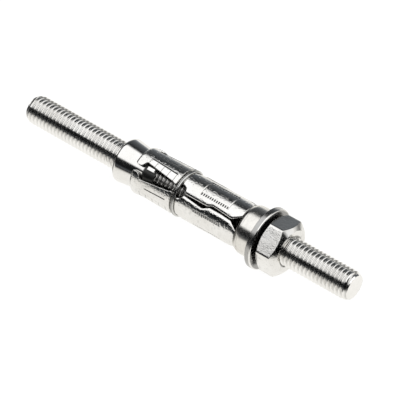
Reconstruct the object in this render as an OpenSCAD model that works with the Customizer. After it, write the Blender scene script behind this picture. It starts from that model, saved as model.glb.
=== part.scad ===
// Shield anchor: a threaded stud draws a tapered nut into four shell segments, which spread in a drilled hole.
// The axis lies along X, x = 0 is the wall face at the ferrule's outer end, and the free end of the stud is at +X.

/* [Stud] */
// Outer diameter of the stud's thread
stud_d = 10; // [8:0.1:12]
// Length of the stud
stud_len = 130; // [110:1:180]
// How far the stud stands out of the wall
stud_out = 35; // [20:1:60]
// Axial length of the chamfer at the stud's ends
stud_chamfer_l = 1.8; // [0.5:0.1:3]
// Radial depth of the chamfer at the stud's ends
stud_chamfer_r = 0.85; // [0.3:0.05:1.5]

/* [Shield] */
// Length of the shield from its tips to the wall face
shield_len = 48.5; // [42:0.5:70]
// Wall of the expanding half, over the cone nut's pocket
front_wall = 1.72; // [1.2:0.02:3]
// Wall of the rear half, over the stud
rear_wall = 2.15; // [1.6:0.05:3]
// Wall of the rear ends inside the ferrule
seat_wall = 1.55; // [1.2:0.05:2.4]
// Length of the rounded edge at the tips
tip_round_l = 1.2; // [0.5:0.1:3]
// Depth of the rounded edge at the tips
tip_round_r = 0.75; // [0.3:0.05:1.1]
// Length of the tapered mouth that the cone nut bears on
mouth_l = 3.5; // [2.5:0.1:6]

/* [Seams] */
// Gap of the seams between the segments
seam_gap = 0.6; // [0.4:0.1:1.6]
// How far each seam swings to one side at its interlock
seam_swing = 1.1; // [0.4:0.1:1.6]
// How far each seam swings back past its line
seam_return = 0.65; // [0.2:0.05:1.2]
// Distance of the swing from the wall face
swing_at = 20.6; // [19:0.1:24]
// Distance of the return from the wall face
return_at = 17.4; // [14:0.1:18.4]
// Gap between the feet at the tips
foot_gap = 2.3; // [1.4:0.1:3.6]
// Length of the feet
foot_len = 2.9; // [2.2:0.1:4.5]
// Corner radius of the feet
foot_round = 0.9; // [0.3:0.05:1.1]
// Widest opening of the slots, behind the feet
slot_w = 6.1; // [4.8:0.1:7]
// Length of the slanted step from the feet to the widest opening
slot_step_l = 0.8; // [0.3:0.1:2]
// Narrow end of the slots, ahead of the ring
slot_end_w = 3.3; // [2.6:0.1:4.2]
// Diameter of the relief holes at the ring
relief_d = 4.8; // [4.2:0.1:6]
// Distance of the relief holes behind the ring
relief_shift = 0.7; // [0:0.1:1.5]
// Width of the corner openings at the ferrule
corner_w = 5.4; // [2:0.1:7]
// Length of the corner openings
corner_l = 3.2; // [1.5:0.1:5]

/* [Cone nut] */
// Length of the cone nut
cone_len = 15; // [12:0.5:20]
// How far the cone nut stands out of the shield
cone_out = 7.7; // [4:0.1:9]
// Rise of the cone's radius for each millimetre along it
cone_taper = 0.13; // [0.08:0.01:0.2]
// Wall of the cone nut at its small end
cone_wall = 0.72; // [0.4:0.02:1.4]
// Length of the rounded rim at the big end
cone_rim_l = 1.2; // [0.4:0.1:2]
// Depth of the rounded rim at the big end
cone_rim_r = 0.75; // [0.3:0.05:1.2]
// Width of the lugs that stand in the slots
lug_w = 1.3; // [0.8:0.1:2.8]
// Length of the lugs
lug_l = 2.7; // [1.5:0.1:4]
// Distance of the lugs from the cone nut's small end
lug_inset = 0.3; // [0.1:0.1:2]
// Height of the lugs above the pocket that the cone nut enters
lug_rise = 0.7; // [0.3:0.05:1.4]

/* [Retaining ring] */
// Distance of the ring from the wall face
ring_at = 31.1; // [28:0.1:34]
// Diameter of the ring's wire
wire_d = 1.1; // [0.7:0.05:1.6]
// Clearance of the groove beside the wire
groove_side = 0.35; // [0.1:0.05:0.8]
// Depth of the groove in the rear half
groove_depth = 0.75; // [0.4:0.05:1.2]
// Gap between the ends of the ring
ring_split = 1; // [0.4:0.1:3]

/* [Ferrule] */
// Length of the ferrule
ferrule_len = 6.4; // [5.4:0.1:10]
// Wall of the ferrule
ferrule_wall = 1.05; // [0.7:0.05:1.6]
// Radius of the ferrule's rim
ferrule_rim = 0.5; // [0.2:0.05:0.6]
// Thickness of the inturned flange
flange_t = 0.8; // [0.5:0.05:1.4]
// Distance of the holding bead from the wall face
bead_at = 3.6; // [3:0.1:4]
// Width of the holding bead
bead_w = 1.2; // [0.8:0.1:1.6]
// Height of the holding bead
bead_h = 0.45; // [0.2:0.05:0.6]

/* [Washer and nut] */
// Outer diameter of the washer
washer_d = 21; // [18:0.5:30]
// Thickness of the washer
washer_t = 2; // [1:0.1:4]
// Radius of the washer's edges
washer_edge = 0.3; // [0.1:0.05:0.45]
// Width of the nut across its flats
nut_af = 17; // [16:0.5:22]
// Height of the nut
nut_h = 8; // [5:0.5:12]
// Diameter of the nut's end faces, inside the chamfers
nut_face_d = 14.4; // [13:0.1:16.8]
// Angle of the nut's chamfers from its end faces
nut_bevel = 32; // [15:1:45]
// Depth of the chamfer at the mouths of the threaded bores
bore_chamfer = 0.6; // [0.2:0.1:1]

/* [Clocking] */
// Turn of the front seam from the top, towards the front
seam_clock = 43; // [0:1:89]
// Turn of the cone nut's lugs from the middle of their slots
lug_clock = -12; // [-14:1:6]
// Turn of the nut's upper corner from the top
nut_clock = 13; // [0:1:59]

/* [Hidden] */
$fn = 96;
zinc = "#c8c8c3";
satin_zinc = "#b9b6ad";
bright_wire = "#d4d4d2";
segments = 4;
pitch_angle = 360 / segments;

// Clearances between the pieces
thread_gap = 0.05;
face_gap = 0.05;
ring_gap = 0.05;
cone_gap = 0.1;
seat_gap = 0.2;
bead_gap = 0.25;
washer_gap = 0.25;
guide_gap = 0.6;
past = 1;

// Radii about the stud
stud_r = stud_d / 2;
bore_r = stud_r + thread_gap;
guide_r = stud_r + guide_gap;
washer_r = washer_d / 2;

// Cone nut along the axis, and the radius of its taper at a place there
tip_x = -shield_len;
cone_end_x = tip_x - cone_out;
cone_rim_x = cone_end_x + cone_rim_l;
cone_small_x = cone_end_x + cone_len;
lug_x = cone_small_x - lug_inset - lug_l;
function cone_r(x) = bore_r + cone_wall + cone_taper * (cone_small_x - x);

// Sections of the shield
mouth_x = tip_x + mouth_l;
pocket_r = cone_r(mouth_x) + cone_gap;
front_r = pocket_r + front_wall;
rear_r = guide_r + rear_wall;
lug_r = pocket_r + lug_rise;
ring_x = -ring_at;
hoop_r = rear_r - groove_depth + ring_gap + wire_d / 2;
groove_r = rear_r - groove_depth;
groove_front = ring_x - wire_d / 2 - groove_side;
groove_back = ring_x + wire_d / 2 + groove_side;
pocket_slope_l = 1;
pocket_end = groove_front - pocket_slope_l;

// Ferrule and the rear ends that it holds
seat_r = guide_r + seat_wall;
seat_front = -ferrule_len - bead_gap;
seat_back = -flange_t - seat_gap;
ferrule_bore = seat_r + seat_gap;
ferrule_r = ferrule_bore + ferrule_wall;
bead_r = ferrule_bore - bead_h;
bead_groove_half = bead_w / 2 + bead_gap;

// Places along the seams
slot_front = tip_x + foot_len;
slot_wide = slot_front + slot_step_l;
slot_end = ring_x - relief_d / 2;
relief_x = ring_x + relief_shift;
corner_x = -ferrule_len - corner_l;

// Nut beyond the washer
nut_x = washer_t + 2 * face_gap;
nut_end = nut_x + nut_h;
nut_corner_r = nut_af / 2 / cos(30);
nut_chamfer_l = (nut_corner_r - nut_face_d / 2) * tan(nut_bevel);

// Quarter round from one point to another, leaving across the axis and arriving along it
function round_over(from, to) = [for (a = [0 : 30 : 90])
    [to[0] + (from[0] - to[0]) * cos(a), from[1] + (to[1] - from[1]) * sin(a)]];

function reversed(points) = [for (i = [len(points) - 1 : -1 : 0]) points[i]];

// Turns a profile of [x, radius] points about the anchor's axis
module turned(points) {
    rotate([0, 90, 0])
        rotate_extrude()
            polygon([for (p = points) [p[1], p[0]]]);
}

// Threaded bore from one place on the axis to another, with a chamfer at each mouth
module bore(from, to) {
    mouth_r = bore_r + bore_chamfer;
    turned([
        [from - past, 0],
        [from - past, mouth_r],
        [from, mouth_r],
        [from + bore_chamfer, bore_r],
        [to - bore_chamfer, bore_r],
        [to, mouth_r],
        [to + past, mouth_r],
        [to + past, 0]
    ]);
}

module threaded_stud() {
    stud_end = stud_out - stud_len;
    end_r = stud_r - stud_chamfer_r;
    color(zinc)
        turned([
            [stud_end, 0],
            [stud_end, end_r],
            [stud_end + stud_chamfer_l, stud_r],
            [stud_out - stud_chamfer_l, stud_r],
            [stud_out, end_r],
            [stud_out, 0]
        ]);
}

module cone_nut() {
    rim_r = cone_r(cone_rim_x);
    color(zinc)
        difference() {
            union() {
                turned(concat(
                    [[cone_end_x, 0]],
                    round_over([cone_end_x, rim_r - cone_rim_r], [cone_rim_x, rim_r]),
                    [[cone_small_x, cone_r(cone_small_x)], [cone_small_x, 0]]
                ));
                for (i = [0 : segments - 1])
                    rotate([seam_clock + lug_clock + i * pitch_angle, 0, 0])
                        translate([lug_x, -lug_w / 2, stud_r])
                            cube([lug_l, lug_w, lug_r - stud_r]);
            }
            turned([
                [cone_end_x - past, 0],
                [cone_end_x - past, bore_r + bore_chamfer],
                [cone_end_x, bore_r + bore_chamfer],
                [cone_end_x + bore_chamfer, bore_r],
                [cone_small_x + past, bore_r],
                [cone_small_x + past, 0]
            ]);
        }
}

// Edge of a segment as [x, distance from the seam's plane], from the tips to the rear end.
// side is 1 where the seam swings into the segment and -1 where the segment follows it out.
function seam_edge(side) = concat(
    [[tip_x - past, foot_gap / 2 + foot_round]],
    round_over([tip_x, foot_gap / 2 + foot_round], [tip_x + foot_round, foot_gap / 2]),
    reversed(round_over([slot_front, foot_gap / 2 + foot_round], [slot_front - foot_round, foot_gap / 2])),
    [
        [slot_wide, slot_w / 2],
        [slot_end, slot_end_w / 2],
        [relief_x, slot_end_w / 2],
        [relief_x, seam_gap / 2],
        [-swing_at, seam_gap / 2 + side * seam_swing],
        [-return_at, seam_gap / 2 - side * seam_return],
        [corner_x, seam_gap / 2],
        [-ferrule_len, corner_w / 2],
        [past, corner_w / 2]
    ]
);

// Everything on the segment's side of one seam
module beside_seam(side) {
    reach = 2 * front_r;
    linear_extrude(height = reach)
        difference() {
            polygon(concat(seam_edge(side), [[past, reach], [tip_x - past, reach]]));
            translate([relief_x, 0])
                circle(d = relief_d);
        }
}

// The shield before it is parted into segments
module barrel() {
    turned(concat(
        [[tip_x, cone_r(tip_x) + cone_gap]],
        round_over([tip_x, front_r - tip_round_r], [tip_x + tip_round_l, front_r]),
        [
            [groove_front, front_r],
            [groove_front, groove_r],
            [groove_back, groove_r],
            [groove_back, rear_r],
            [seat_front, rear_r],
            [seat_front, seat_r],
            [-bead_at - bead_groove_half, seat_r],
            [-bead_at - bead_groove_half, bead_r - bead_gap],
            [-bead_at + bead_groove_half, bead_r - bead_gap],
            [-bead_at + bead_groove_half, seat_r],
            [seat_back, seat_r],
            [seat_back, guide_r],
            [pocket_end, guide_r],
            [pocket_end - pocket_slope_l, pocket_r],
            [mouth_x, pocket_r]
        ]
    ));
}

// One pressed quarter shell, between two seams
module shield_segment(place) {
    half = pitch_angle / 2;
    color(zinc)
        rotate([seam_clock - half + place * pitch_angle, 0, 0])
            intersection() {
                barrel();
                rotate([half, 0, 0])
                    beside_seam(-1);
                rotate([half + 90, 0, 0])
                    translate([0, 0, -2 * front_r])
                        beside_seam(1);
            }
}

module retaining_ring() {
    color(bright_wire)
        difference() {
            translate([ring_x, 0, 0])
                rotate([0, 90, 0])
                    rotate_extrude()
                        translate([hoop_r, 0])
                            circle(d = wire_d, $fn = 32);
            rotate([seam_clock + 2.5 * pitch_angle, 0, 0])
                translate([ring_x - wire_d, -ring_split / 2, 0])
                    cube([2 * wire_d, ring_split, hoop_r + wire_d]);
        }
}

module ferrule() {
    color(satin_zinc)
        turned(concat(
            [[-ferrule_len, ferrule_bore]],
            round_over([-ferrule_len, ferrule_r - ferrule_rim], [-ferrule_len + ferrule_rim, ferrule_r]),
            [
                [0, ferrule_r],
                [0, guide_r],
                [-flange_t, guide_r],
                [-flange_t, ferrule_bore],
                [-bead_at + bead_w / 2, ferrule_bore],
                [-bead_at + bead_w / 4, bead_r],
                [-bead_at - bead_w / 4, bead_r],
                [-bead_at - bead_w / 2, ferrule_bore]
            ]
        ));
}

module washer() {
    near = face_gap;
    far = face_gap + washer_t;
    hole_r = stud_r + washer_gap;
    color(zinc)
        turned(concat(
            [[near, hole_r]],
            round_over([near, washer_r - washer_edge], [near + washer_edge, washer_r]),
            reversed(round_over([far, washer_r - washer_edge], [far - washer_edge, washer_r])),
            [[far, hole_r]]
        ));
}

module hex_nut() {
    color(zinc)
        difference() {
            intersection() {
                translate([nut_x, 0, 0])
                    rotate([nut_clock, 0, 0])
                        rotate([0, 90, 0])
                            cylinder(r = nut_corner_r, h = nut_h, $fn = 6);
                turned([
                    [nut_x, 0],
                    [nut_x, nut_face_d / 2],
                    [nut_x + nut_chamfer_l, nut_corner_r],
                    [nut_end - nut_chamfer_l, nut_corner_r],
                    [nut_end, nut_face_d / 2],
                    [nut_end, 0]
                ]);
            }
            bore(nut_x, nut_end);
        }
}

threaded_stud();
cone_nut();
shield_segment(0);  // shield_segment_1
shield_segment(1);  // shield_segment_2
shield_segment(2);  // shield_segment_3
shield_segment(3);  // shield_segment_4
retaining_ring();
ferrule();
washer();
hex_nut();
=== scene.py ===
# %% [markdown]
# A shield anchor holds a heavy thing to masonry. A threaded stud draws a tapered nut into a shield of
# four pressed shells, and the shells spread in the drilled hole. Every piece is bare, zinc-plated steel.
# The solid model gives the places and the motion, so it is loaded first and left as it is. The pieces
# made below stand in its place with the threads, rolled edges and pressed marks that a plain solid leaves
# out.

# %% Load the frame
import math

import bmesh
import bpy
import numpy as np
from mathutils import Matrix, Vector


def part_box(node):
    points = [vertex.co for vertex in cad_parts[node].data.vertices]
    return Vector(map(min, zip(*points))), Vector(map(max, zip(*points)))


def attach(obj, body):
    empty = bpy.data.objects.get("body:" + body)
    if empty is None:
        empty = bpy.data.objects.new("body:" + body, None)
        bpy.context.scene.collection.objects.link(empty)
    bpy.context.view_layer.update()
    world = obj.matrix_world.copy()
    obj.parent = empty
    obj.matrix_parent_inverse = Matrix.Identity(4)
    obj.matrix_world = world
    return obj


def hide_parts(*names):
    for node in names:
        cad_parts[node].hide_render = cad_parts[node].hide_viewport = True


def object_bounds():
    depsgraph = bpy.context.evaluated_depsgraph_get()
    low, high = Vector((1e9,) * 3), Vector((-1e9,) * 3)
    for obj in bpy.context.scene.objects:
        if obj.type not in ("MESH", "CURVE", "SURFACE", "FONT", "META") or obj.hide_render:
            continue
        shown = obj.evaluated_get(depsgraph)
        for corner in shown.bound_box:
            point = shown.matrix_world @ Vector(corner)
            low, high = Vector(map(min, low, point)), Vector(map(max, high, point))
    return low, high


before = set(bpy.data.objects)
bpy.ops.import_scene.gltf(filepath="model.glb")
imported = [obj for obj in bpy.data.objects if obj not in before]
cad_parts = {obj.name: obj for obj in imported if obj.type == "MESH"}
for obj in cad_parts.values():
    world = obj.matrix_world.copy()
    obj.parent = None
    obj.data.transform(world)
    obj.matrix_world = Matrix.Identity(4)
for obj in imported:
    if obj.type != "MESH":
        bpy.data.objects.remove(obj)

cad_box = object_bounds()
print("CAD box in metres:", [round(v, 4) for corner in cad_box for v in corner])

# %% [markdown]
# The anchor's axis lies along X, and x = 0 is the wall face. Everything is worked out in millimetres
# along that axis and as a radius round it, which is how such a part is drawn. The main places are read
# from the frame, so that the dressed pieces sit exactly where the solids are.

# %% Measure the solids
MM = 0.001


def reach(node):
    """Lowest x, highest x and greatest radius of a solid, in millimetres."""
    low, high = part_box(node)
    return low.x / MM, high.x / MM, (high.z - low.z) / 2 / MM


stud_left, stud_right, stud_r = reach("threaded_stud")
cone_left, cone_right, cone_r = reach("cone_nut")
ferrule_left, ferrule_right, ferrule_r = reach("ferrule")
washer_left, washer_right, washer_r = reach("washer")
nut_left, nut_right, _ = reach("hex_nut")
shell_left, shell_right, _ = reach("shield_segment_1")
wire_left, wire_right, hoop_outer = reach("retaining_ring")
print(f"stud from {stud_left:.1f} to {stud_right:.1f} mm, radius {stud_r:.2f}")

# %% [markdown]
# A finish is written as arithmetic. A small class wraps an output socket, and each + - * or / on it adds
# a Math node, so a roughness reads like a formula, where nodes joined by hand can't be read back so
# easily. One method makes every other node: it sets the node's settings first and then its sockets,
# because some settings change which sockets there are. The short methods after it name the nodes that are
# used most.

# %% Node arithmetic
class Wire:
    """An output socket that takes part in sums: each operator adds one Math node."""

    def __init__(self, board, socket):
        self.board = board
        self.socket = socket

    def combine(self, operation, first, second):
        return self.board.node("ShaderNodeMath", {"operation": operation}, {0: first, 1: second})

    def __add__(self, other):
        return self.combine("ADD", self, other)

    __radd__ = __add__

    def __sub__(self, other):
        return self.combine("SUBTRACT", self, other)

    def __rsub__(self, other):
        return self.combine("SUBTRACT", other, self)

    def __mul__(self, other):
        return self.combine("MULTIPLY", self, other)

    __rmul__ = __mul__

    def __truediv__(self, other):
        return self.combine("DIVIDE", self, other)

    def __rtruediv__(self, other):
        return self.combine("DIVIDE", other, self)


class Board:
    """A node tree, emptied, to which nodes are added."""

    def __init__(self, tree):
        self.tree = tree
        tree.nodes.clear()

    def node(self, kind, settings, sockets, output=0):
        """Adds a node of a kind with its settings, then its sockets, and returns one output as a wire."""
        made = self.tree.nodes.new(kind)
        for name, value in settings.items():
            if name == "stops":
                self.set_stops(made.color_ramp, value)
            else:
                setattr(made, name, value)
        for name, value in sockets.items():
            if isinstance(value, Wire):
                self.tree.links.new(value.socket, made.inputs[name])
            else:
                made.inputs[name].default_value = value
        return Wire(self, made.outputs[output]) if made.outputs else None

    def set_stops(self, ramp, stops):
        """Gives a ramp its stops, each a place from 0 to 1 and a colour."""
        while len(ramp.elements) > 1:
            ramp.elements.remove(ramp.elements[-1])
        ramp.elements[0].position = stops[0][0]
        ramp.elements[0].color = stops[0][1]
        for place, colour in stops[1:]:
            ramp.elements.new(place).color = colour

    def noise(self, place, scale, detail):
        """A noise round one half, with a number of finer layers in it."""
        return self.node("ShaderNodeTexNoise", {}, {"Vector": place, "Scale": scale, "Detail": detail})

    def between(self, value, start, stop):
        """Climbs from zero to one as a value goes from start to stop."""
        ends = {"Value": value, "From Min": start, "From Max": stop}
        return self.node("ShaderNodeMapRange", {}, ends, "Result")

    def larger(self, first, second):
        """The larger of two values."""
        return self.node("ShaderNodeMath", {"operation": "MAXIMUM"}, {0: first, 1: second})

    def blend(self, share, first, second):
        """A colour that goes from the first to the second with a share."""
        return self.node("ShaderNodeMix", {"data_type": "RGBA"}, {0: share, 6: first, 7: second}, 2)

    def layer(self, share, below, above):
        """A shader that goes from the one below to the one above with a share."""
        return self.node("ShaderNodeMixShader", {}, {0: share, 1: below, 2: above})

# %% [markdown]
# Bright zinc plate mirrors its surroundings, but never evenly. The plating is a little cloudy, specked
# and stained, the steel under it has a fine orange peel, and drawn lines run along it. A picture of metal
# would bring its own light with it, so each fault is a noise instead: a wide one for the clouds, narrow
# ones for peel, specks and stains, and one that is stretched along an axis for the lines. All of them
# read Object coordinates, in metres, so a scale of 100 means about one blotch for each centimetre. An
# attribute on each piece also makes the plate dark and dull: mostly painted shade, in thread roots, bores,
# slots, grooves and inside the shield, and real wear on the washer's torn rim.

# %% Plated steel
# This near-black colour serves both the real stains and the painted shade.
GRIME_AND_SHADE = (0.024, 0.024, 0.024, 1.0)
PEEL_DEPTH = 0.00002


def plated_steel(name, bright, dull, smooth, rough, peel, pits, stains, line_scale):
    """A plated finish: colour and roughness drift with the clouds, the bump adds peel, pits and lines."""
    material = bpy.data.materials.new(name)
    material.use_nodes = True
    board = Board(material.node_tree)
    place = board.node("ShaderNodeTexCoord", {}, {}, "Object")
    drawn = board.node("ShaderNodeMapping", {}, {"Vector": place, "Scale": line_scale})
    worn = board.node("ShaderNodeAttribute", {"attribute_name": "worn"}, {}, "Fac")
    cloud = board.noise(place, 110.0, 4.0)
    grain = board.noise(place, 1500.0, 3.0)
    lines = board.noise(drawn, 1.0, 2.0)
    patchy = board.between(cloud, 0.35, 0.68)
    specks = board.between(board.noise(place, 1500.0, 1.0), 0.52, 0.7)
    stained = board.between(board.noise(place, 700.0, 3.0), 0.56, 0.74)
    # Painted shade from the piece's attribute, with the real specks and stains, blends the plate towards
    # near black.
    soil_and_shade = worn + specks * 0.03 + stained * stains
    colour = board.blend(soil_and_shade, board.blend(patchy, bright, dull), GRIME_AND_SHADE)
    gloss = smooth + (rough - smooth) * patchy + 0.04 * grain + 0.05 * specks + 0.25 * worn
    height = cloud * 2.5 + grain * 0.9 + lines * 0.2 - specks * pits
    bump = board.node("ShaderNodeBump", {}, {"Strength": peel, "Distance": PEEL_DEPTH, "Height": height})
    shader = board.node("ShaderNodeBsdfPrincipled", {},
                        {"Base Color": colour, "Metallic": 1.0, "Roughness": gloss, "Normal": bump})
    board.node("ShaderNodeOutputMaterial", {}, {"Surface": shader})
    print("finish", name, "with", len(material.node_tree.nodes), "nodes")
    return material

# %% [markdown]
# The pieces were made in different ways, and the plate shows it. The pressed shells are the most pitted,
# the forged nut has the strongest peel, turned and rolled pieces have fine lines round the axis, the
# ferrule is satin and the spring wire is greyer. One function with other numbers gives all six.

# %% Six finishes
FRESH_ZINC = (0.86, 0.855, 0.84, 1)
CLOUDY_ZINC = (0.78, 0.77, 0.745, 1)
pressed_zinc = plated_steel("pressed_zinc", FRESH_ZINC, CLOUDY_ZINC, smooth=0.09, rough=0.16,
                            peel=1.0, pits=1.5, stains=0.13, line_scale=(300.0, 2500.0, 2500.0))
turned_zinc = plated_steel("turned_zinc", FRESH_ZINC, CLOUDY_ZINC, smooth=0.05, rough=0.12,
                           peel=0.5, pits=0.2, stains=0.0, line_scale=(5000.0, 250.0, 250.0))
rolled_zinc = plated_steel("rolled_zinc", (0.93, 0.925, 0.91, 1), (0.86, 0.85, 0.83, 1), smooth=0.05,
                           rough=0.12, peel=0.5, pits=0.2, stains=0.0, line_scale=(5000.0, 250.0, 250.0))
forged_zinc = plated_steel("forged_zinc", FRESH_ZINC, CLOUDY_ZINC, smooth=0.05, rough=0.12,
                           peel=1.3, pits=0.5, stains=0.2, line_scale=(600.0, 600.0, 600.0))
satin_zinc = plated_steel("satin_zinc", (0.8, 0.785, 0.75, 1), (0.68, 0.66, 0.62, 1), smooth=0.15,
                          rough=0.24, peel=0.7, pits=0.5, stains=0.12, line_scale=(6000.0, 200.0, 200.0))
spring_wire = plated_steel("spring_wire", (0.68, 0.68, 0.67, 1), (0.56, 0.56, 0.54, 1), smooth=0.08,
                           rough=0.14, peel=0.3, pits=0.5, stains=0.0, line_scale=(900.0, 900.0, 900.0))

# %% [markdown]
# Every new piece is a grid of points: rows run along a profile and columns run round the axis. Joining
# the last line to the first closes the grid, so a washer is a grid that is closed both ways. Points are
# put into the mesh at once, points that meet are merged, and the normals are turned outwards.

# %% Grids into meshes
MERGE_M = 2e-7


def grid_quads(rows, columns, close_rows, close_columns):
    """Corner numbers of quads on points numbered row by row; a closed way joins the last to the first."""
    row = np.arange(rows if close_rows else rows - 1)[:, None]
    column = np.arange(columns if close_columns else columns - 1)[None, :]
    row_on = (row + 1) % rows
    column_on = (column + 1) % columns
    corners = (row * columns + column, row * columns + column_on,
               row_on * columns + column_on, row_on * columns + column)
    return np.stack(np.broadcast_arrays(*corners), axis=-1).reshape(-1, 4)


def round_axis(x, radius, turn):
    """Points in metres from places x and radii in millimetres and turns in radians, from +Y to +Z."""
    x, radius, turn = np.broadcast_arrays(x, radius, turn)
    return MM * np.stack([x, radius * np.cos(turn), radius * np.sin(turn)], axis=-1)


def new_piece(name, points, quads, worn, caps=(), crease=38):
    """A mesh object from points, quads and end caps: smooth, but creased above an angle in degrees."""
    mesh = bpy.data.meshes.new(name)
    mesh.from_pydata(points.reshape(-1, 3).tolist(), [], quads.tolist() + [list(cap) for cap in caps])
    dullness = mesh.attributes.new("worn", "FLOAT", "POINT")
    dullness.data.foreach_set("value", worn.ravel().astype(np.float32))
    shell = bmesh.new()
    shell.from_mesh(mesh)
    bmesh.ops.remove_doubles(shell, verts=shell.verts, dist=MERGE_M)
    bmesh.ops.recalc_face_normals(shell, faces=shell.faces)
    shell.to_mesh(mesh)
    shell.free()
    mesh.shade_smooth()
    mesh.set_sharp_from_angle(angle=math.radians(crease))
    piece = bpy.data.objects.new(name, mesh)
    bpy.context.scene.collection.objects.link(piece)
    print(name, "has", len(mesh.polygons), "faces")
    return piece


def dress(piece, body, node, material):
    """Lets a piece ride on a body in place of a solid, and gives it its slot and finish."""
    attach(piece, body)
    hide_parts(node)
    piece.data.materials.append(material)

# %% [markdown]
# The stud is a rolled metric thread of 10 mm with a pitch of 1.5 mm. A bump map would look right from
# afar, but its outline would be straight, so the thread is real. Each row of the grid climbs one pitch as
# it goes round, so that rows follow the crest: after a full turn a row meets the next pitch's row.

# %% Thread form
PITCH = 1.5
CREST_R = stud_r - 0.04
ROOT_R = CREST_R - 0.92
CREST_EDGE = 0.07
ROOT_EDGE = 0.42


def soft_above(value, floor, ease):
    """The larger of a value and a floor, with the corner between them eased into a curve."""
    gap = value - floor
    return floor + (gap + np.sqrt(gap * gap + ease * ease)) / 2


def soft_below(value, ceiling, ease):
    """The smaller of a value and a ceiling, with the corner between them eased into a curve."""
    return -soft_above(-value, -ceiling, ease)


def thread_radius(x, turn):
    """Radius of a right-hand thread: flat crest, flanks at 60 degrees and round root, one pitch a turn."""
    pitches = x / PITCH - turn / (2 * np.pi)
    away = np.abs(pitches - np.round(pitches))
    rise = (ROOT_EDGE - away) / (ROOT_EDGE - CREST_EDGE)
    rise = soft_below(soft_above(rise, 0, 0.1), 1, 0.12)
    return ROOT_R + (CREST_R - ROOT_R) * rise


print(f"thread from {ROOT_R:.2f} to {CREST_R:.2f} mm in radius")

# %% [markdown]
# Beyond each end of the stud the rows go on for one more pitch, but their x is held at the end and their
# radius shrinks to nothing. That closes the end with a flat face that needs no seam. The chamfer is a
# cone that the thread isn't allowed to stand out of. A painted shade makes roots darker and duller than
# crests, most of all where the thread is seen in the slots, and paints the stretch further inside the
# shield dark all over.

# %% The stud
TURN_STEPS = 56
CHAMFER_L = 1.8
CHAMFER_R = 0.85
SLOTS_FROM = cone_left + 12
SLOTS_TO = wire_right + 2.6
HIDDEN_SHADE = 0.97
half_pitch = np.array([0, 0.05, 0.085, 0.16, 0.25, 0.34, 0.41, 0.46])
pitch_places = np.concatenate([half_pitch, 1 - half_pitch[:0:-1]])
turn = np.arange(TURN_STEPS) * 2 * np.pi / TURN_STEPS
first = math.floor(stud_left / PITCH) - 2
last = math.ceil(stud_right / PITCH) + 1
climb = (np.arange(first, last)[:, None] + pitch_places[None, :]).reshape(-1, 1)
along = (climb + turn[None, :] / (2 * np.pi)) * PITCH
held = np.clip(along, stud_left, stud_right)
to_end = np.minimum(held - stud_left, stud_right - held)
cone_limit = stud_r - CHAMFER_R + to_end * CHAMFER_R / CHAMFER_L
shrink = np.clip(1 - np.abs(along - held) / (0.9 * PITCH), 0, 1)
thread = thread_radius(along, turn)
stud_radius = soft_below(thread, cone_limit, 0.05) * shrink
root_share = np.clip((CREST_R - thread) / (CREST_R - ROOT_R), 0, 1) * (shrink == 1)
# Painted shade: darker roots, more of it in the slots, and the stretch under the shells dark all over.
root_dull = 0.35 * root_share ** 3
slot_dull = (0.1 + 0.75 * root_share) * ((along > SLOTS_FROM) & (along < SLOTS_TO))
under_shells = (along >= SLOTS_TO) & (along < ferrule_right)
stud_shade = np.maximum.reduce([root_dull, slot_dull, HIDDEN_SHADE * under_shells])
rows, columns = stud_radius.shape
row = np.arange(rows - len(pitch_places) - 1)
seam_low = row * columns + columns - 1
seam_high = (row + len(pitch_places)) * columns
seam = np.stack([seam_low, seam_high, seam_high + columns, seam_low + columns], axis=-1)
stud_quads = np.concatenate([grid_quads(rows, columns, False, False), seam])
stud_points = round_axis(held, stud_radius, turn)
stud = new_piece("threaded_stud_piece", stud_points, stud_quads, stud_shade, crease=50)
dress(stud, "stud", "threaded_stud", rolled_zinc)

# %% [markdown]
# A nut's bore carries the same thread with a little play, so the two always mesh: one turn of the nut
# moves the stud by one pitch, which is what the model's motion does. At each mouth a countersink cuts the
# thread away. The rows of a bore simply follow x, because eight millimetres need no climbing rows.

# %% Threaded bores
BORE_PLAY = 0.06
BORE_LEAST = stud_r - 0.78
# The bores carry a painted shade inside them.
BORE_SHADE = 0.5
COUNTERSINK = 1.73


def bore_rows(left, right, mouth_r, steps, turns):
    """Places, radii and painted shade of a bore: the thread plus play, cut by a countersink of 120 degrees.
    """
    x = np.linspace(left, right, steps)[:, None]
    thread = soft_above(thread_radius(x, turns) + BORE_PLAY, BORE_LEAST, 0.05)
    depth = np.minimum(x - left, right - x)
    radius = soft_above(thread, mouth_r - COUNTERSINK * depth, 0.04)
    return np.broadcast_to(x, radius.shape), radius, np.full_like(radius, BORE_SHADE)


def face_rows(x, radius_from, radius_to, shares):
    """A flat face across the axis at x, from one radius to another, at shares of the way."""
    shares = np.array(shares)[:, None]
    radius = radius_from + (radius_to - radius_from) * shares
    return np.full_like(radius, x), radius, np.zeros_like(radius)


def closed_ring(name, parts, turns):
    """A closed piece from groups of rows, each of places, radii and painted shade, in order round the
    section.
    """
    x, radius, worn = (np.concatenate([part[n] for part in parts]) for n in range(3))
    return new_piece(name, round_axis(x, radius, turns), grid_quads(*radius.shape, True, True), worn)


print(f"bores are {BORE_LEAST:.2f} mm or more in radius")
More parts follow.
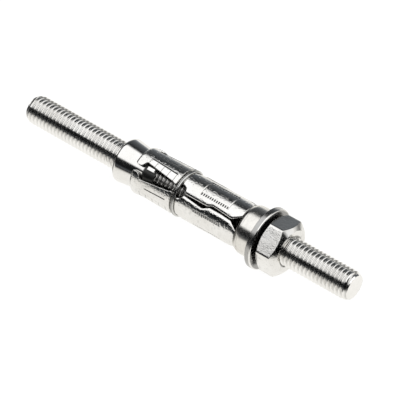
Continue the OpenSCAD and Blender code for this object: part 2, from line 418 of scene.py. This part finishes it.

# %% [markdown]
# A hexagon's flat lies at one distance from the axis, so its radius grows as one over the cosine of the
# angle from the flat's middle. The turned chamfer is a cone. The nut's outside is the smaller of the two,
# with the edge between them eased, and that gives the curved edges that every forged nut shows at its
# corners. The chamfer next to the washer lies in a narrow groove, and a painted shade keeps it dark and
# dull.

# %% The hex nut
NUT_FLAT = 8.5
NUT_CORNER = math.radians(103)
NUT_FACE_R = 7.2
NUT_BEVEL = math.tan(math.radians(32))
NUT_STEPS = 180
GROOVE_SHADE = 0.9
FACE_SHARES = [0.02, 0.15, 0.5, 0.85, 0.98]
nut_turns = NUT_CORNER + np.arange(NUT_STEPS) * 2 * np.pi / NUT_STEPS
from_flat = (nut_turns - NUT_CORNER) % (np.pi / 3) - np.pi / 6
hexagon = soft_below(NUT_FLAT / np.cos(from_flat), NUT_FLAT / math.cos(np.pi / 6) - 0.08, 0.05)
half_depth = np.concatenate([[0, 0.02, 0.05], np.linspace(0.1, 1.8, 28), [2.2, 2.9, 3.6]])
outer_x = np.concatenate([nut_right - half_depth, nut_left + half_depth[::-1]])[:, None]
depth = np.minimum(outer_x - nut_left, nut_right - outer_x)
outer_r = soft_below(hexagon[None, :], NUT_FACE_R + depth / NUT_BEVEL, 0.06)
nut_bore = bore_rows(nut_left, nut_right, stud_r + 0.5, 96, nut_turns)
right_face = face_rows(nut_right, nut_bore[1][-1], outer_r[0], FACE_SHARES)
left_face = face_rows(nut_left, outer_r[-1], nut_bore[1][0], FACE_SHARES)
# Painted shade on the chamfer in the groove by the washer.
in_groove = (outer_x < nut_left + 3) & (outer_r < hexagon - 0.1)
outer_rows = (np.broadcast_to(outer_x, outer_r.shape), outer_r, GROOVE_SHADE * in_groove)
nut = closed_ring("hex_nut_piece", [nut_bore, right_face, outer_rows, left_face], nut_turns)
dress(nut, "nut", "hex_nut", forged_zinc)

# %% [markdown]
# The washer and the ferrule are turned outlines. A sharp drawn corner never stays sharp in pressed steel.
# A Bevel modifier would ease all corners alike, so each corner is bridged here by its own short parabola
# between two points on its sides, and a support point just beyond keeps the flats flat in the shading.

# %% Eased outlines
CORNER_STEPS = 6
SUPPORT = 1.4
ON_EDGE = 0.02


def eased(corners):
    """A closed outline from corners of x, radius and ease: each becomes a parabola from side to side."""
    corners = np.array(corners, float)
    corner = corners[:, None, :2]
    ease = corners[:, None, 2:]
    back = np.roll(corner, 1, axis=0) - corner
    on = np.roll(corner, -1, axis=0) - corner
    back = back / np.linalg.norm(back, axis=-1, keepdims=True)
    on = on / np.linalg.norm(on, axis=-1, keepdims=True)
    t = np.linspace(0, 1, CORNER_STEPS)[None, :, None]
    curve = corner + ease * ((1 - t) ** 2 * back + t ** 2 * on)
    outline = np.concatenate([corner + SUPPORT * ease * back, curve, corner + SUPPORT * ease * on], axis=1)
    return outline.reshape(-1, 2)


def turned_outline(name, corners, steps, rim_worn=0.0, face_shade=0.0):
    """A closed ring: an eased outline turned about the axis in steps, with a worn rim and a painted shade
    on its right face.
    """
    outline = eased(corners)
    turn = np.arange(steps) * 2 * np.pi / steps
    points = round_axis(outline[:, :1], outline[:, 1:], turn[None, :])
    on_rim = outline[:, 1:] > outline[:, 1].max() - ON_EDGE
    on_face = outline[:, :1] > outline[:, 0].max() - ON_EDGE
    worn = np.broadcast_to(np.maximum(rim_worn * on_rim, face_shade * on_face), points.shape[:2])
    return new_piece(name, points, grid_quads(len(outline), steps, True, True), worn)


print("each corner of an outline takes", CORNER_STEPS + 2, "points")

# %% [markdown]
# The washer was punched out of a sheet, so one rim is rounder than the other. The torn rim between them
# is dull, and the face under the nut is darkened by a painted shade.

# %% The washer
washer_hole = stud_r + 0.25
# The right face carries a painted shade under the nut.
washer = turned_outline("washer_piece", [
    (washer_left, washer_hole, 0.12),
    (washer_left, washer_r, 0.22),
    (washer_right, washer_r, 0.5),
    (washer_right, washer_hole, 0.3),
], 192, rim_worn=0.5, face_shade=0.6)
dress(washer, "ferrule", "washer", turned_zinc)

# %% [markdown]
# The ferrule is a short cap over the rear ends of the shells. Its open rim is drawn in a little, its
# flange lies under the washer, and a small bead inside it sits in a groove of the shells, so that it
# holds their rear ends together while they swing.

# %% The ferrule
ferrule_bore = ferrule_r - 1.05
flange_hole = stud_r + 0.6
flange_x = ferrule_right - 0.8
bead_x = ferrule_right - 3.6
bead_r = ferrule_bore - 0.45
ferrule = turned_outline("ferrule_piece", [
    (ferrule_left, ferrule_bore, 0.2),
    (ferrule_left, ferrule_r - 0.5, 0.15),
    (ferrule_left + 0.9, ferrule_r - 0.1, 0.4),
    (ferrule_left + 1.9, ferrule_r, 0.4),
    (ferrule_right, ferrule_r, 0.12),
    (ferrule_right, flange_hole, 0.15),
    (flange_x, flange_hole, 0.15),
    (flange_x, ferrule_bore, 0.1),
    (bead_x + 0.6, ferrule_bore, 0.1),
    (bead_x + 0.3, bead_r, 0.1),
    (bead_x - 0.3, bead_r, 0.1),
    (bead_x - 0.6, ferrule_bore, 0.1),
], 160)
dress(ferrule, "ferrule", "ferrule", satin_zinc)

# %% [markdown]
# The cone nut is the wedge of the anchor: a tapered, threaded plug with a rolled rim and four lugs, which
# stand in the slots of the shield and stop it from turning with the stud. A quarter turn parts the lugs,
# and they stand a little to one side of the seams. The columns of the grid are close together at their
# sides. Clock angles are in degrees from straight up, as in the solid model.

# %% Lugs of the cone nut
CLOCK_ZERO = 90
SEAM_CLOCK = 43
LUG_CLOCK = -12
LUG_R = 7.06
LUG_HALF_WIDTH = 0.65
lug_x = np.array([cone_right - 3.0, cone_right - 0.3])
lug_half = math.asin(LUG_HALF_WIDTH / LUG_R)
lug_turn = math.radians(SEAM_CLOCK + LUG_CLOCK + CLOCK_ZERO)
to_side = lug_half + np.radians([-2.2, -0.7, -0.2, 0.2, 0.5])
lug_sides = lug_turn + np.arange(4)[:, None, None] * np.pi / 2 + np.array([-1, 1])[:, None] * to_side
cone_turns = np.unique(np.concatenate([np.arange(120) * np.pi / 60, lug_sides.ravel() % (2 * np.pi)]))
from_lug = cone_turns - lug_turn + np.pi / 4
to_lug = np.abs(from_lug % (np.pi / 2) - np.pi / 4)
lug_number = (from_lug // (np.pi / 2)).astype(int) % 4
print(len(cone_turns), "columns round the cone nut")

# %% [markdown]
# The lugs could be blocks joined to the taper, but that leaves messy edges. Here they are raised out of
# it by a mask that is one inside a lug and zero outside, so they are part of the same closed surface.
# Round the lugs the taper lies deep in the slots, and a painted shade darkens it there, each slot in its
# own way.

# %% The cone nut
TAPER = 0.13
RIM_L = 1.2
RIM_DROP = 0.75
SLOT_SHADE = np.array([0.95, 0.6, 0.75, 0.2])
SHADE_FROM_X = -45.5


def inside(value, edge, ease):
    """One where a value is below an edge and zero above it, along an S curve that is ease wide."""
    t = np.clip((edge - value) / ease + 0.5, 0, 1)
    return t * t * (3 - 2 * t)


taper_x = np.unique(np.concatenate([
    np.linspace(cone_left + RIM_L, cone_right - 0.06, 60),
    cone_left + RIM_L * (1 - np.cos(np.linspace(0, np.pi / 2, 9))),
    (lug_x[:, None] + np.array([-0.2, -0.06, 0.06, 0.2])).ravel(),
    [cone_right],
]))[::-1, None]
rim_place = np.clip((cone_left + RIM_L - taper_x) / RIM_L, 0, 1)
taper_r = cone_r + TAPER * (cone_left + RIM_L - taper_x)
taper_r = np.minimum(taper_r, cone_r) - RIM_DROP * (1 - np.sqrt(1 - rim_place ** 2))
lug_mid = lug_x.mean()
lug_mask = inside(np.abs(taper_x - lug_mid), lug_x[1] - lug_mid, 0.14) * inside(to_lug, lug_half, 0.012)
cone_outer = taper_r + (LUG_R - taper_r) * lug_mask
# Painted shade on the taper round the lugs, deep in the slots.
slot_shade = inside(-taper_x, -SHADE_FROM_X, 0.3) * (1 - lug_mask) * SLOT_SHADE[lug_number]
taper_rows = (np.broadcast_to(taper_x, cone_outer.shape), cone_outer, slot_shade)
cone_bore = bore_rows(cone_left, cone_right, stud_r + 0.45, 150, cone_turns)
small_face = face_rows(cone_right, cone_bore[1][-1], cone_outer[0], [0.1, 0.5, 0.9])
big_face = face_rows(cone_left, cone_outer[-1], cone_bore[1][0], [0.03, 0.2, 0.6, 0.95])
cone = closed_ring("cone_nut_piece", [cone_bore, small_face, taper_rows, big_face], cone_turns)
dress(cone, "stud", "cone_nut", turned_zinc)

# %% [markdown]
# The shield is what takes the most care. Four equal shells meet along seams that swing to one side and
# back, so that neighbours lock together like puzzle pieces. Towards the tips the seams open into slots
# with feet. A shell could be cut out of a tube, but cuts leave ragged shading, so it is lofted along x:
# at each place the section is an arc between two edges. Radii and edges are given as corner points on
# fine places along x, and then blurred a little, as a press leaves them.

# %% Places along the shield
GROOVE_MID = (wire_left + wire_right) / 2
GROOVE = (GROOVE_MID - 0.9, GROOVE_MID + 0.9)
SEAT_FRONT = ferrule_left - 0.25
FINE_STEP = 0.01
fine = np.arange(shell_left - 0.5, shell_right + 0.5, FINE_STEP)


def blurred(values, width):
    """Values on the fine places, averaged with a bell curve of a width in millimetres."""
    steps = np.arange(-4 * width, 4 * width + FINE_STEP / 2, FINE_STEP)
    bell = np.exp(-0.5 * (steps / width) ** 2)
    pad = len(steps) // 2
    padded = np.pad(values, pad, mode="edge")
    return np.convolve(padded, bell / bell.sum(), mode="valid")[:len(values)]


def stepped(corners):
    """A line through corners of place and value, on the fine places."""
    places, values = np.array(corners, float).T
    return np.interp(fine, places, values)


print(f"shield from {shell_left:.1f} to {shell_right:.1f} mm, groove at {GROOVE_MID:.1f} mm")

# %% [markdown]
# The section's outside has the groove for the ring, a thinner seat under the ferrule with a groove for
# its bead, and a rounded tip. Its inside is a bore for the stud that opens into the pocket for the cone
# nut and flares at the mouth.

# %% Sections of a shell
FRONT_R = 8.08
REAR_R = 7.75
GROOVE_R = 7.0
SEAT_R = 7.15
BEAD_R = 6.65
GUIDE_R = stud_r + 0.6
POCKET_R = 6.36
MOUTH_R = 6.82
MOUTH_L = 3.5
TIP_ROUND_L = 1.2
TIP_ROUND_R = 0.75
STEEP = 0.02
bead_sides = (bead_x - 0.85, bead_x + 0.85)


def walls(*steps):
    """Corners of a line that steps at each place x from one value to the next."""
    return [corner for x, before, after in steps for corner in ((x - STEEP, before), (x + STEEP, after))]


outside = stepped(walls(
    (GROOVE[0], FRONT_R, GROOVE_R),
    (GROOVE[1], GROOVE_R, REAR_R),
    (SEAT_FRONT, REAR_R, SEAT_R),
    (bead_sides[0], SEAT_R, BEAD_R),
    (bead_sides[1], BEAD_R, SEAT_R),
))
tip_place = np.clip(1 - (fine - shell_left) / TIP_ROUND_L, 0, 1)
outside = blurred(outside, 0.07) - TIP_ROUND_R * (1 - np.sqrt(1 - tip_place ** 2))
hollow = stepped([(shell_left, MOUTH_R), (shell_left + MOUTH_L, POCKET_R),
                  (GROOVE[0] - 2, POCKET_R), (GROOVE[0] - 1, GUIDE_R)])
print(f"shell wall {np.min(outside - hollow):.2f} mm at the thinnest")

# %% [markdown]
# An edge is given as a distance from the plane of its seam. The relief hole at the ring is a circle, so
# there the edge is the root of the radius squared less the distance squared. One side of every seam
# follows the swing outwards and the other side gives way to it.

# %% Edges of a shell
SEAM_HALF = 0.3
FOOT_HALF = 1.15
FOOT_EASE = 0.55
FOOT_ROUND = 0.9
SLOT_HALF = 3.05
NECK_HALF = 1.65
CORNER_HALF = 2.7
SLOT_FRONT = shell_left + 2.9
RELIEF_X = GROOVE_MID + 0.7
RELIEF_R = 2.4
SWING_X = (-20.6, -17.4)
SWING_BY = (1.1, -0.65)
CORNER_X = ferrule_left - 3.2


def seam_edge(side):
    """Distance of an edge from the seam's plane; side is 1 to give way to the swing and -1 to follow it."""
    line = stepped([
        (SLOT_FRONT - FOOT_EASE, FOOT_HALF), (SLOT_FRONT, FOOT_HALF + FOOT_EASE),
        (SLOT_FRONT + 0.8, SLOT_HALF), (GROOVE_MID - RELIEF_R, NECK_HALF), (RELIEF_X, SEAM_HALF),
        (SWING_X[0], SEAM_HALF + side * SWING_BY[0]), (SWING_X[1], SEAM_HALF + side * SWING_BY[1]),
        (CORNER_X, SEAM_HALF), (ferrule_left, CORNER_HALF),
    ])
    hole = np.sqrt(np.clip(RELIEF_R ** 2 - (fine - RELIEF_X) ** 2, 0, None))
    foot = np.clip(1 - (fine - shell_left) / FOOT_ROUND, 0, 1)
    return blurred(np.maximum(line, hole), 0.16) + FOOT_ROUND * (1 - np.sqrt(1 - foot ** 2))


giving_edge = seam_edge(1)
following_edge = seam_edge(-1)
swing = np.interp(SWING_X[0], fine, giving_edge) - SEAM_HALF
print(f"seams part by {2 * SEAM_HALF} mm and swing by {swing:.2f} mm")

# %% [markdown]
# The press leaves marks on each shell: a ladder of four pads along one side of the front half, a single
# line along its other side, and a frame with two rows of fine ticks on the rear half. They are pressed in
# by about a tenth of a millimetre. A bump would do from afar, but this is deep enough to catch the light,
# so the points are moved, and a painted shade darkens the marks. The press doesn't hit every shell alike:
# on the second one the ladder's rail and the ends of the frame are faint.

# %% Pressed marks
PRESS_DEPTH = 0.15
LADDER_X = (-44.4, -33.8)
LADDER_TURN = np.radians([8.5, 12.4])
RUNG_X = np.linspace(*LADDER_X, 5)
PLAIN_X = (-42.2, -33.9)
PLAIN_TURN = np.radians([-7, -9])
FRAME_X = (-23.2, -12.2)
FRAME_TURN = math.radians(22)
FRAME_SHIFT = math.radians(2)
TICK_PITCH = 0.846
LINE_EASE = 0.16
TICK_EASE = 0.12
RAIL_DULL = (0.95, 0.05, 0.6, 0.6)
PLAIN_DULL = (0.6, 0.95, 0.6, 0.6)
END_SHARE = (1.0, 0.1, 1.0, 1.0)


def pressed_marks(x, turn, radius, rail_dull, plain_dull, end_share):
    """Depth and painted shade of marks at places x and turns from the shell's middle: bands with soft
    sides.
    """
    rail_turn = np.interp(x, LADDER_X, LADDER_TURN)
    rail = inside(np.abs(turn - rail_turn) * radius, 0.2, LINE_EASE)
    rail = rail * inside(np.abs(x - np.mean(LADDER_X)), np.ptp(LADDER_X) / 2 + 0.15, 0.15)
    to_rung = np.min(np.abs(x[..., None] - RUNG_X), axis=-1)
    rungs = inside(to_rung, 0.12, LINE_EASE) * inside(rail_turn, turn, 0.01)
    plain_turn = np.interp(x, PLAIN_X, PLAIN_TURN)
    plain = inside(np.abs(turn - plain_turn) * radius, 0.19, LINE_EASE)
    plain = plain * inside(np.abs(x - np.mean(PLAIN_X)), np.ptp(PLAIN_X) / 2, 0.15)
    from_frame = np.abs(turn - FRAME_SHIFT) * radius
    frame_half = FRAME_TURN * radius
    frame_mid = np.mean(FRAME_X)
    frame_reach = np.ptp(FRAME_X) / 2
    to_tick = np.abs((x - FRAME_X[0]) % TICK_PITCH - TICK_PITCH / 2)
    ticks = inside(np.abs(from_frame - frame_half), 0.42, TICK_EASE) * inside(to_tick, 0.22, TICK_EASE)
    ticks = ticks * inside(np.abs(x - frame_mid), frame_reach, 0.1)
    ends = inside(np.abs(np.abs(x - frame_mid) - frame_reach), 0.1, 0.14)
    ends = end_share * ends * inside(from_frame, frame_half + 0.4, 0.1)
    tick_dull = 0.45 + 0.55 * end_share
    # The darkening of the marks is a painted shade in the pressed grooves.
    depths = [rail_dull * rail, 0.6 * rungs, 0.25 * plain, 0.6 * ticks, 0.9 * ends]
    dulls = [rail_dull * rail, 0.4 * rungs, plain_dull * plain, tick_dull * ticks, 0.15 * ends]
    return np.maximum.reduce(depths), np.maximum.reduce(dulls)


print(f"{np.ptp(FRAME_X) / TICK_PITCH:.0f} ticks in each row of a frame")

# %% [markdown]
# The places of the sections are close together where something happens, at the walls of the grooves, the
# feet, the relief hole and the marks, and wider apart in between. Even steps that are fine enough for a
# tick would take several times as many faces.

# %% Places of the sections
wall_x = np.array([*GROOVE, SEAT_FRONT, *bead_sides])
stations = np.unique(np.round(np.concatenate([
    np.arange(shell_left, shell_right, 0.3),
    shell_left + TIP_ROUND_L * (1 - np.cos(np.linspace(0, np.pi / 2, 12))),
    (RUNG_X[:, None] + np.linspace(-0.3, 0.3, 9)).ravel(),
    (wall_x[:, None] + np.linspace(-0.25, 0.25, 11)).ravel(),
    np.arange(FRAME_X[0] - 0.3, FRAME_X[1] + 0.3, 0.1),
    np.arange(SLOT_FRONT - 1, SLOT_FRONT + 1.2, 0.12),
    np.arange(RELIEF_X - RELIEF_R - 0.4, RELIEF_X + RELIEF_R + 0.4, 0.12),
    [shell_right],
]), 3))
stations = stations[np.diff(stations, prepend=stations[0] - 1) > 0.015]
print(len(stations), "sections along each shell")

# %% [markdown]
# Across a section the first and last few points roll over the edge on a quarter of an ellipse: it is
# small along the slots and wide along the rear seams, where the press has drawn the edge down. A painted
# shade darkens the tip, the cut faces slightly and the inside almost to black.

# %% A lofted shell
ROLL_DEPTH = 0.45
TIP_SHADE = 0.7
CUT_SHADE = 0.1
roll_width = stepped([(GROOVE[0], 0.22), (GROOVE[1], 1.5)])
roll_steps = 1 - np.cos(np.linspace(0, np.pi / 2, 12))
across = np.linspace(0, 1, 142)[1:-1]
inner_steps = np.linspace(0, 1, 25)[::-1]


def between_edges(low, high, radius):
    """First and last turn from the shell's middle of an arc between two edges, at a radius."""
    return np.arcsin(low / radius) - np.pi / 4, np.pi / 4 - np.arcsin(high / radius)


def shell_piece(name, middle, looks):
    """A shell about a middle turn: at each station an outer arc with rolled edges and an inner arc."""
    x = stations[:, None]
    outer, inner, roll = (np.interp(x, fine, values) for values in (outside, hollow, roll_width))
    low, high = (np.interp(x, fine, values) for values in (giving_edge, following_edge))
    depth = np.minimum(ROLL_DEPTH, 0.5 * (outer - inner))
    start, stop = between_edges(low, high, outer)
    width = (stop - start) * outer
    travel = np.concatenate([roll * roll_steps, roll + (width - 2 * roll) * across,
                             width - roll * roll_steps[::-1]], axis=1)
    rolled = np.clip(1 - np.minimum(travel, width - travel) / roll, 0, 1)
    drop = depth * (1 - np.sqrt(1 - rolled ** 2))
    turn = start + travel / outer
    marks, dull = pressed_marks(np.broadcast_to(x, turn.shape), turn, outer, *looks)
    # Painted shade at the tip, on the cut faces and over the whole inside.
    dull = np.maximum(dull, TIP_SHADE * inside(x - shell_left, 0.2, 0.2))
    cut = outer - depth - 0.2 * (outer - inner)
    cut_start, cut_stop = between_edges(low, high, cut)
    inner_start, inner_stop = between_edges(low, high, inner)
    inner_turn = inner_start + (inner_stop - inner_start) * inner_steps
    turns = np.concatenate([turn, cut_stop, inner_turn, cut_start], axis=1) + middle
    radius = np.concatenate([outer - drop - PRESS_DEPTH * marks, cut,
                             np.broadcast_to(inner, inner_turn.shape), cut], axis=1)
    cut_shade = np.full_like(x, CUT_SHADE)
    worn = np.concatenate([dull, cut_shade, np.full_like(inner_turn, HIDDEN_SHADE), cut_shade], axis=1)
    rows, columns = radius.shape
    caps = (np.arange(columns), np.arange(columns) + (rows - 1) * columns)
    return new_piece(name, round_axis(x, radius, turns), grid_quads(rows, columns, False, True),
                     worn, caps, 50)

# %% [markdown]
# The four shells are equal and stand a quarter turn apart, with a seam on either side. Each rides on its
# own body, so that it swings outwards when the nut is tightened.

# %% The four shells
SHELL_TURNS = np.radians(CLOCK_ZERO + SEAM_CLOCK - 45 + 90 * np.arange(4))
shell_looks = zip(RAIL_DULL, PLAIN_DULL, END_SHARE)
for number, (middle, looks) in enumerate(zip(SHELL_TURNS, shell_looks), 1):
    shell = shell_piece(f"shield_segment_{number}_piece", middle, looks)
    dress(shell, f"segment_{number}", f"shield_segment_{number}", pressed_zinc)

# %% [markdown]
# The ring is a round wire in the groove, with a shallow, dark line along its crest, and it springs open
# as the shells spread. One hoop couldn't follow four shells, so arcs stand for it, each on its own shell.
# An arc reaches a little into the next one, slightly thinner, so that the hoop stays whole to the eye
# when the shells move apart. The real ring's gap is in the middle of the last shell, which carries two
# short arcs.

# %% The retaining ring
WIRE_R = (wire_right - wire_left) / 2
HOOP_R = hoop_outer - WIRE_R
OVERLAP = math.radians(9)
SPLIT = 0.5 / HOOP_R
WIRE_STEPS = 48
TAIL_THINNER = 0.02
CREST_LINE = 0.22
CREST_DEPTH = 0.1
CREST_DULL = 0.9


def wire_arc(name, start, stop, tail):
    """A round wire from one turn to another, with a thinner tail after it and a line along its crest."""
    turn = np.concatenate([np.linspace(start, stop, 40), np.linspace(stop, stop + tail, 6)[1:]])
    thick = np.where(turn > stop + 1e-6, WIRE_R - TAIL_THINNER, WIRE_R)[:, None]
    ring = np.arange(WIRE_STEPS) * 2 * np.pi / WIRE_STEPS
    line = np.exp(-((ring - np.pi / 2) / CREST_LINE) ** 2)
    outwards = HOOP_R + thick * np.sin(ring) - CREST_DEPTH * line
    points = round_axis(GROOVE_MID + thick * np.cos(ring), outwards, turn[:, None])
    caps = (np.arange(WIRE_STEPS), np.arange(WIRE_STEPS) + (len(turn) - 1) * WIRE_STEPS)
    worn = np.broadcast_to(CREST_DULL * line, points.shape[:2])
    return new_piece(name, points, grid_quads(len(turn), WIRE_STEPS, False, True), worn, caps)


eighth = np.pi / 4
arcs = [(n + 1, SHELL_TURNS[n] - eighth, SHELL_TURNS[n] + eighth, OVERLAP) for n in range(3)]
arcs += [(4, SHELL_TURNS[3] - eighth, SHELL_TURNS[3] - SPLIT, 0.001),
         (4, SHELL_TURNS[3] + SPLIT, SHELL_TURNS[3] + eighth, OVERLAP)]
for number, (shell_number, start, stop, tail) in enumerate(arcs, 1):
    arc = wire_arc(f"retaining_ring_arc_{number}", start, stop, tail)
    dress(arc, f"segment_{shell_number}", "retaining_ring", spring_wire)

# %% [markdown]
# The photograph was taken with a long lens from well above the table, at the free end's side. The camera
# looks at the middle of the stud, and then moves a little sideways without turning, as a photographer
# slides a tripod, until the anchor sits in the frame as it does in the photograph.

# %% The camera
AZIMUTH = math.radians(39.04)
ELEVATION = math.radians(43.88)
DISTANCE = 1.0262
FOCAL_PX = 3257.6
FRAME_PX = 400
SLIDE_RIGHT_PX = 10.0
SLIDE_DOWN_PX = 5.0
back = Vector((math.sin(AZIMUTH) * math.cos(ELEVATION),
               -math.cos(AZIMUTH) * math.cos(ELEVATION), math.sin(ELEVATION)))
right = Vector((math.cos(AZIMUTH), math.sin(AZIMUTH), 0))
upwards = back.cross(right)
aim = Vector(((stud_left + stud_right) / 2 * MM, 0, 0))
slide = right * SLIDE_RIGHT_PX - upwards * SLIDE_DOWN_PX
lens = bpy.data.cameras.new("camera")
lens.sensor_width = 36
lens.lens = FOCAL_PX / FRAME_PX * lens.sensor_width
lens.clip_start = 0.01
camera = bpy.data.objects.new("camera", lens)
bpy.context.scene.collection.objects.link(camera)
camera.location = aim + back * DISTANCE + slide * (DISTANCE / FOCAL_PX)
camera.rotation_euler = (-back).to_track_quat("-Z", "Y").to_euler()
bpy.context.scene.camera = camera
bpy.context.scene.view_settings.view_transform = "Standard"
print(f"lens {lens.lens:.0f} mm at {DISTANCE:.3f} m")

# %% [markdown]
# Polished metal has almost no colour of its own: it shows the room. Product photographers hang one long
# soft light above such a part, keep the sides of the room dark so that the edges stand out, and lay it on
# a white table. Lamps and walls could stand there, but a ramp of brightness round the anchor's axis says
# the same, a little cool where it is dark. It ends in the dark along that axis, as the light is only so
# long, and from the middle on, towards the nut's side, a second ramp stands for the pale back of the
# room.

# %% Levels of the room
SOFT_LIGHT = 1.25
world = bpy.data.worlds.new("room")
bpy.context.scene.world = world
world.use_nodes = True
board = Board(world.node_tree)
direction = board.node("ShaderNodeTexCoord", {}, {}, "Generated")
endways = board.node("ShaderNodeSeparateXYZ", {}, {"Vector": direction}, "X")
sideways = board.node("ShaderNodeSeparateXYZ", {}, {"Vector": direction}, "Y")
upward = board.node("ShaderNodeSeparateXYZ", {}, {"Vector": direction}, "Z")
round_turn = board.node("ShaderNodeMath", {"operation": "ARCTAN2"}, {0: 0 - sideways, 1: upward})
ramp_place = round_turn / (2 * math.pi) + 0.5


def room_ramp(levels):
    """A ramp of degrees from straight up towards the front and grey levels, each made cool where dark."""
    stops = []
    for degrees, grey in levels:
        red = grey * (0.9 + 0.1 * grey)
        green = grey * (0.97 + 0.03 * grey)
        blue = grey * (1.05 - 0.05 * grey)
        stops.append((degrees / 360 + 0.5, (red, green, blue, 1)))
    return board.node("ShaderNodeValToRGB", {"stops": stops}, {"Fac": ramp_place}, "Color")


soft_room = room_ramp([
    (-180, 0.75), (-119, 0.9), (-103, 0.7), (-87, 0.28), (-71, 0.1), (-55, 0.065), (-39, 0.025),
    (-30, 0.02), (-20, 1.0), (45, 1.0), (51, 0.012), (78, 0.006), (92, 0.1), (180, 0.6),
])
pale_back = room_ramp([
    (-180, 0.75), (-125, 0.7), (-108, 0.2), (-90, 0.1), (-50, 0.08), (-36, 1.1), (28, 1.1), (36, 0.02),
    (78, 0.006), (92, 0.1), (180, 0.6),
])
room = board.blend(board.between(endways, -0.1, 0.0), soft_room, pale_back)
lit = board.between(endways, -0.87, -0.8) * board.between(endways, 0.88, 0.8) * 0.97 + 0.03
lit_room = board.node("ShaderNodeBackground", {}, {"Color": room, "Strength": lit * SOFT_LIGHT})
print("levels of the room with", len(world.node_tree.nodes), "nodes")

# %% [markdown]
# The camera sees a plain white backdrop. So do mirrored rays that leave to the back, if they go low over
# the table or towards the end wall on the nut's side. Nothing here asks where the camera stands: a ray's
# kind and its direction in the room decide.

# %% The backdrop
camera_ray = board.node("ShaderNodeLightPath", {}, {}, "Is Camera Ray")
mirror_ray = board.node("ShaderNodeLightPath", {}, {}, "Is Glossy Ray")
low = board.between(upward, 0.04, 0.0)
end_wall = board.between(endways, 0.55, 0.65) * board.between(endways, 0.93, 0.88)
behind = board.between(sideways, 0.1, 0.4)
white_share = camera_ray + mirror_ray * board.larger(low, end_wall) * behind
white = board.node("ShaderNodeBackground", {}, {"Color": (1, 1, 1, 1), "Strength": 1.0})
room_and_backdrop = board.layer(white_share, lit_room, white)
print("backdrop added:", len(world.node_tree.nodes), "nodes")

# %% [markdown]
# Below the horizon a mirrored ray finds the white sheet that the anchor lies on. The soft light doesn't
# reach far to the front, so the sheet fades where a ray leaves flat that way: its reach is how far it
# goes for each step down. The sheet is dark along the axis too: past the left end of the light, where a
# ray leaves flat to the right, and at the far right end.

# %% The sheet in reflections
FRONT_TURN = math.radians(39)
FADE_REACH = 4.0
WARM_WHITE = (1.0, 0.985, 0.95, 1)
frontways = endways * math.sin(FRONT_TURN) - sideways * math.cos(FRONT_TURN)
downward = board.larger(0 - upward, 0.001)
ray_reach = board.larger(frontways, 0.0) / downward / FADE_REACH
squared = ray_reach * ray_reach
faded = 1 / (squared * squared + 1)
left_dark = board.between(endways, -0.7, -0.82) * 0.85
right_dark = board.between(endways, 0.1, 0.3) * board.between(endways, 0.68, 0.45)
right_dark = right_dark * board.between(downward, 0.5, 0.35) * 0.75
end_dark = board.between(endways, 0.86, 0.92)
sheet_level = faded * (1 - left_dark - right_dark - end_dark)
sheet = board.node("ShaderNodeBackground", {}, {"Color": WARM_WHITE, "Strength": sheet_level})
under = mirror_ray * board.between(upward, 0.0, -0.01)
whole_room = board.layer(under, room_and_backdrop, sheet)
board.node("ShaderNodeOutputWorld", {}, {"Surface": whole_room})
print("room with", len(world.node_tree.nodes), "nodes")

# %% [markdown]
# The table is a plain white sheet just under the anchor. To the camera it is mostly white by itself, and
# the rest of it is an ordinary matt white that takes the anchor's faint shadow. Mirrored rays pass
# through it, because the room already holds the sheet as they should see it.

# %% The table
TABLE_HALF = 3.0
TABLE_DROP = 0.00002
TABLE_GLOW = 1.19
GLOW_SHARE = 0.8
MATT_WHITE = (0.85, 0.85, 0.84, 1)
corners = np.array([[-1, -1], [1, -1], [1, 1], [-1, 1]]) * TABLE_HALF
level = np.full((4, 1), cad_box[0].z - TABLE_DROP)
table_mesh = bpy.data.meshes.new("table")
table_mesh.from_pydata(np.hstack([corners, level]).tolist(), [], [(0, 1, 2, 3)])
table = bpy.data.objects.new("table", table_mesh)
bpy.context.scene.collection.objects.link(table)
table_white = bpy.data.materials.new("table_white")
table_white.use_nodes = True
board = Board(table_white.node_tree)
camera_ray = board.node("ShaderNodeLightPath", {}, {}, "Is Camera Ray")
mirror_ray = board.node("ShaderNodeLightPath", {}, {}, "Is Glossy Ray")
matt = board.node("ShaderNodeBsdfDiffuse", {}, {"Color": MATT_WHITE})
glow = board.node("ShaderNodeEmission", {}, {"Color": (1, 1, 1, 1), "Strength": TABLE_GLOW})
clear = board.node("ShaderNodeBsdfTransparent", {}, {})
seen_white = board.layer(camera_ray * GLOW_SHARE, matt, glow)
board.node("ShaderNodeOutputMaterial", {}, {"Surface": board.layer(mirror_ray, seen_white, clear)})
table_mesh.materials.append(table_white)
print(f"table at {level[0, 0] / MM:.2f} mm")
